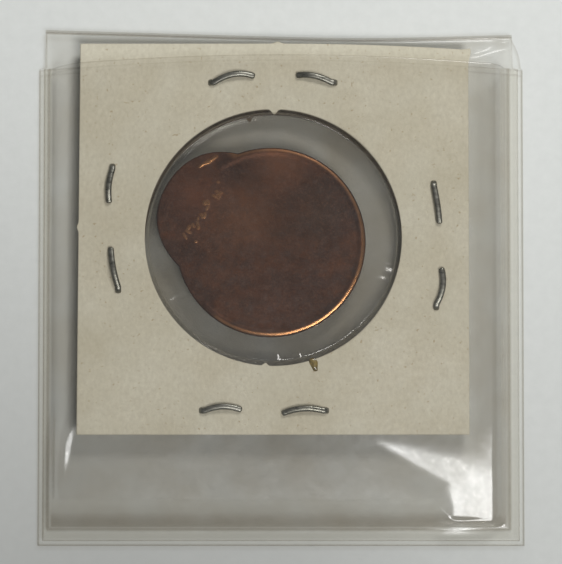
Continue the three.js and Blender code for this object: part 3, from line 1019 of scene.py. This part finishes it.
def coin(material):
    """The coin. Its back has the same relief as its front."""
    angle = np.linspace(-np.pi, np.pi, 440, endpoint=False)
    share = np.concatenate([[0.01], np.linspace(0.06, 0.9, 80), np.linspace(0.905, 0.985, 20)])
    reach = coin_reach(angle)
    radius = share[:, None] * reach
    field = COIN_HALF - 0.08
    face_x = radius * np.cos(angle) + COIN_CENTRE[0]
    face_y = radius * np.sin(angle) + COIN_CENTRE[1]
    relief, wear_and_painted_glint = coin_relief(face_x, face_y, radius)
    face = field + relief
    wall_z = np.repeat(COIN_WALL[:, 1:] * (field - 0.02), len(angle), 1)
    all_radius = np.concatenate([radius, COIN_WALL[:, :1] * reach, radius[::-1]])
    all_z = np.concatenate([face, wall_z, -face[::-1]]) + CARD_MIDDLE
    all_wear_and_glint = np.concatenate([wear_and_painted_glint, np.zeros_like(wall_z), wear_and_painted_glint[::-1]])
    all_x = all_radius * np.cos(angle) + COIN_CENTRE[0]
    all_y = all_radius * np.sin(angle) + COIN_CENTRE[1]
    points = np.stack([all_x, all_y, all_z], 2).reshape(-1, 3)
    faces = grid_faces(len(all_x), len(angle), wrap=True).tolist()
    last = (len(all_x) - 1) * len(angle)
    faces += [list(range(len(angle))), list(range(last, last + len(angle)))]
    masks = {"wear_and_painted_glint": all_wear_and_glint.ravel()}
    piece = fix_normals(make_object("struck_coin", points, faces, material, masks=masks))
    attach(piece, "coin")
    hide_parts("coin")


# ---- Stage, in metres ----

CAMERA_DISTANCE = 0.25
CAMERA_TARGET = np.array([0.0, 0.0008, 0.002])
CAMERA_TILT = math.radians(2.6)
VIEW_WIDTH = 0.0549  # at the target
SENSOR_WIDTH = 36
TABLE_HALF = 0.6

# Name, place, width and power. The streak makes the thin tail of the bright patch on the corner fold.
LAMPS = [
    ("key", (0.2514, -0.3591, 0.8988), 0.40, 4.85),
    ("streak", (0.05, -0.235, 0.97), 0.15, 0.6),
    ("fill", (0.05, 0.12, 0.15), 0.06, 0.165),
]


def aim(thing, target):
    """Turns a lamp or a camera to face a point."""
    direction = Vector(target) - thing.location
    thing.rotation_euler = direction.to_track_quat("-Z", "Y").to_euler()


def area_light(name, location, size, power):
    """A round lamp that faces the origin. The film mirrors it, but the camera doesn't see it."""
    data = bpy.data.lights.new(name, "AREA")
    data.shape = "DISK"
    data.size = size
    data.energy = power
    lamp = bpy.data.objects.new(name, data)
    bpy.context.scene.collection.objects.link(lamp)
    lamp.location = location
    lamp.visible_camera = False
    aim(lamp, (0, 0, 0))


def camera():
    """Nearly straight down on the flip."""
    data = bpy.data.cameras.new("photo_camera")
    data.sensor_width = SENSOR_WIDTH
    data.lens = SENSOR_WIDTH * CAMERA_DISTANCE / VIEW_WIDTH
    data.clip_start = 0.01
    thing = bpy.data.objects.new("photo_camera", data)
    bpy.context.scene.collection.objects.link(thing)
    back = np.array([0, -math.sin(CAMERA_TILT), math.cos(CAMERA_TILT)])
    thing.location = CAMERA_TARGET + CAMERA_DISTANCE * back
    aim(thing, CAMERA_TARGET)
    bpy.context.scene.camera = thing


def stage():
    """The table, the lamps and the plain surroundings."""
    half = TABLE_HALF / MM
    corners = [(-half, -half, 0), (half, -half, 0), (half, half, 0), (-half, half, 0)]
    floor = make_object("floor", corners, [(0, 1, 2, 3)], table_material())
    for lamp in LAMPS:
        area_light(*lamp)
    world = bpy.data.worlds.new("studio")
    world.use_nodes = True
    background = world.node_tree.nodes["Background"]
    background.inputs["Color"].default_value = (0.95, 0.98, 1.0, 1)
    background.inputs["Strength"].default_value = 0.14
    scene = bpy.context.scene
    scene.world = world
    scene.view_settings.view_transform = "Standard"
    scene.cycles.transparent_max_bounces = 64


camera()
vinyl = film_material("clear_vinyl", (0.981, 0.979, 0.976), 0.002, 0.00006, (0.15, 0.23))
clear = film_material("window_film", (0.950, 0.948, 0.944), 0.003, 0.00005, (0.10, 0.16))
steel = steel_material()
vinyl_strip(vinyl)
pockets(vinyl)
folded_card(card_material())
window_film(1, clear)
window_film(-1, clear)
for name, shape in STAPLES.items():
    staple(name, material=steel, **shape)
glue_speck(glue_material())
coin(copper_material())
stage()
